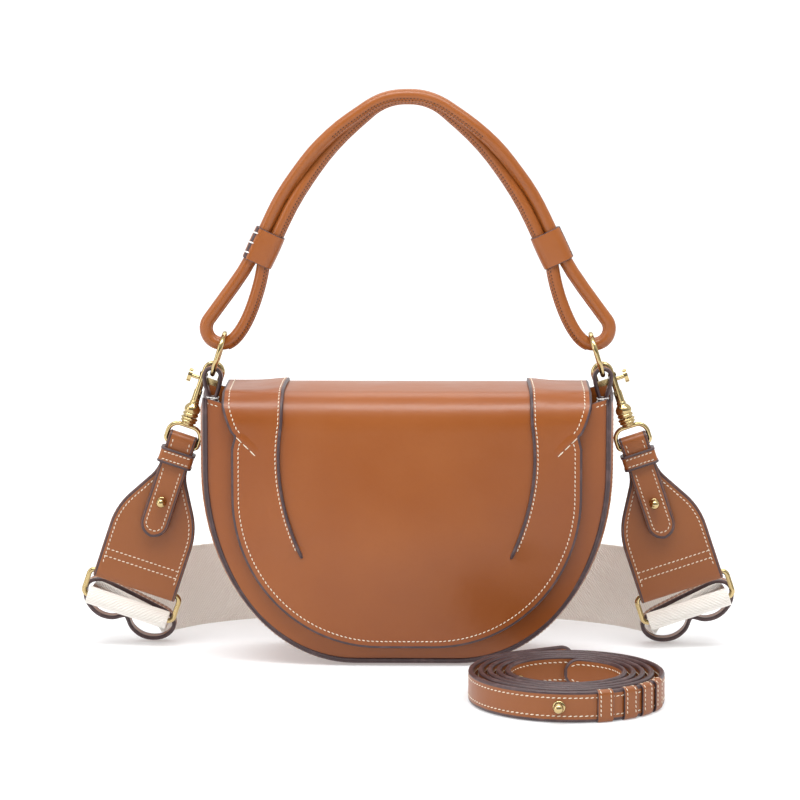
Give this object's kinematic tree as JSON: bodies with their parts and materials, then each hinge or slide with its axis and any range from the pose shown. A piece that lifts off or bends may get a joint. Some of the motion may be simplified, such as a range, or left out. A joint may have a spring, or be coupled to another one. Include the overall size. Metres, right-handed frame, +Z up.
{
  "type": "saddle handbag",
  "caption": "Half-moon leather saddle handbag with front flap, doubled cord handle, clip-on webbing shoulder strap and a coiled narrow leather strap.",
  "frame": {"origin": "middle of the flat bottom, on the surface the bag stands on", "axes": "+Z up, +X to the bag's left-to-right as seen from its front, the front faces -Y"},
  "size_m": [0.3896, 0.2948, 0.3331],
  "materials": {
    "bag_leather": "smooth tan leather, soft sheen, dark painted edges",
    "flap_leather": "smooth tan leather, soft sheen, dark painted edges",
    "lining": "dark brown matt cloth",
    "magnet": "plain plated steel",
    "handle_leather": "rolled tan leather with a sewn seam",
    "strap_leather": "tan leather with cream stitching and dark painted edges",
    "webbing": "cream woven webbing",
    "brass": "polished pale brass"
  },
  "bodies": {
    "bag": {"front_panel": "bag_leather", "back_panel": "bag_leather", "gusset": "bag_leather", "front_lining": "lining", "back_lining": "lining", "gusset_lining": "lining", "front_magnet": "magnet", "flap_back": "flap_leather", "flap_back_lining": "lining", "strap_webbing": "webbing", "left_tab": "bag_leather", "left_oval_ring": "brass", "left_snap_hook": "brass", "left_webbing_keeper": "strap_leather", "right_tab": "bag_leather", "right_oval_ring": "brass", "right_snap_hook": "brass", "right_webbing_keeper": "strap_leather"},
    "flap": {"flap_leather": "flap_leather", "flap_lining": "lining", "flap_magnet": "magnet"},
    "handle": {"handle_cord": "handle_leather", "left_handle_sleeve": "handle_leather", "right_handle_sleeve": "handle_leather"},
    "narrow_strap": {"narrow_strap": "strap_leather", "narrow_front_stud": "brass", "narrow_inner_stud": "brass"},
    "left_hook_bolt": {"left_hook_bolt": "brass"},
    "left_strap_end": {"left_swivel_eye": "brass", "left_strap_end": "strap_leather", "left_end_stud": "brass", "left_strap_ring": "brass"},
    "left_end_keeper": {"left_end_keeper": "strap_leather"},
    "right_hook_bolt": {"right_hook_bolt": "brass"},
    "right_strap_end": {"right_swivel_eye": "brass", "right_strap_end": "strap_leather", "right_end_stud": "brass", "right_strap_ring": "brass"},
    "right_end_keeper": {"right_end_keeper": "strap_leather"},
    "narrow_keeper_1": {"narrow_keeper_1": "strap_leather"},
    "narrow_keeper_2": {"narrow_keeper_2": "strap_leather"},
    "narrow_keeper_3": {"narrow_keeper_3": "strap_leather"},
    "narrow_keeper_4": {"narrow_keeper_4": "strap_leather"}
  },
  "joints": [
    {"name": "flap_lift", "type": "hinge", "parent": "bag", "child": "flap", "pos_m": [0, -0.008, 0.163], "axis": [-1, 0, 0], "range_deg": [0, 95]},
    {"name": "handle_swing", "type": "hinge", "parent": "bag", "child": "handle", "pos_m": [0, 0.003, 0.18384], "axis": [-1, 0, 0], "range_deg": [-105, 105]},
    {"name": "left_bolt_slide", "type": "slide", "parent": "bag", "child": "left_hook_bolt", "axis": [-0.3173, 0, -0.9483], "range_m": [0, 0.005], "stiffness_N_per_m": 60},
    {"name": "left_swivel", "type": "hinge", "parent": "bag", "child": "left_strap_end", "pos_m": [-0.11897, 0.008, 0.16817], "axis": [-0.3173, 0, -0.9483], "range_deg": [-25, 25], "deforming": ["strap_webbing"]},
    {"name": "left_keeper_slide", "type": "slide", "parent": "left_strap_end", "child": "left_end_keeper", "axis": [-0.3173, 0, -0.9483], "range_m": [-0.0018, 0.0035]},
    {"name": "right_bolt_slide", "type": "slide", "parent": "bag", "child": "right_hook_bolt", "axis": [0.3173, 0, -0.9483], "range_m": [0, 0.005], "stiffness_N_per_m": 60},
    {"name": "right_swivel", "type": "hinge", "parent": "bag", "child": "right_strap_end", "pos_m": [0.11897, 0.008, 0.16817], "axis": [0.3173, 0, -0.9483], "range_deg": [-25, 25], "deforming": ["strap_webbing"]},
    {"name": "right_keeper_slide", "type": "slide", "parent": "right_strap_end", "child": "right_end_keeper", "axis": [0.3173, 0, -0.9483], "range_m": [-0.0018, 0.0035]},
    {"name": "narrow_strap_lift", "type": "slide", "parent": "bag", "child": "narrow_strap", "axis": [0, 0, 1], "range_m": [0, 0.1]},
    {"name": "narrow_keeper_1_slide", "type": "hinge", "parent": "narrow_strap", "child": "narrow_keeper_1", "pos_m": [0.091, -0.1232, 0], "axis": [0, 0, 1], "range_deg": [-8, 5]},
    {"name": "narrow_keeper_2_slide", "type": "hinge", "parent": "narrow_strap", "child": "narrow_keeper_2", "pos_m": [0.091, -0.1232, 0], "axis": [0, 0, 1], "range_deg": [-5, 3]},
    {"name": "narrow_keeper_3_slide", "type": "hinge", "parent": "narrow_strap", "child": "narrow_keeper_3", "pos_m": [0.091, -0.1232, 0], "axis": [0, 0, 1], "range_deg": [-3, 2.5]},
    {"name": "narrow_keeper_4_slide", "type": "hinge", "parent": "narrow_strap", "child": "narrow_keeper_4", "pos_m": [0.091, -0.1232, 0], "axis": [0, 0, 1], "range_deg": [-2.5, 15]}
  ]
}
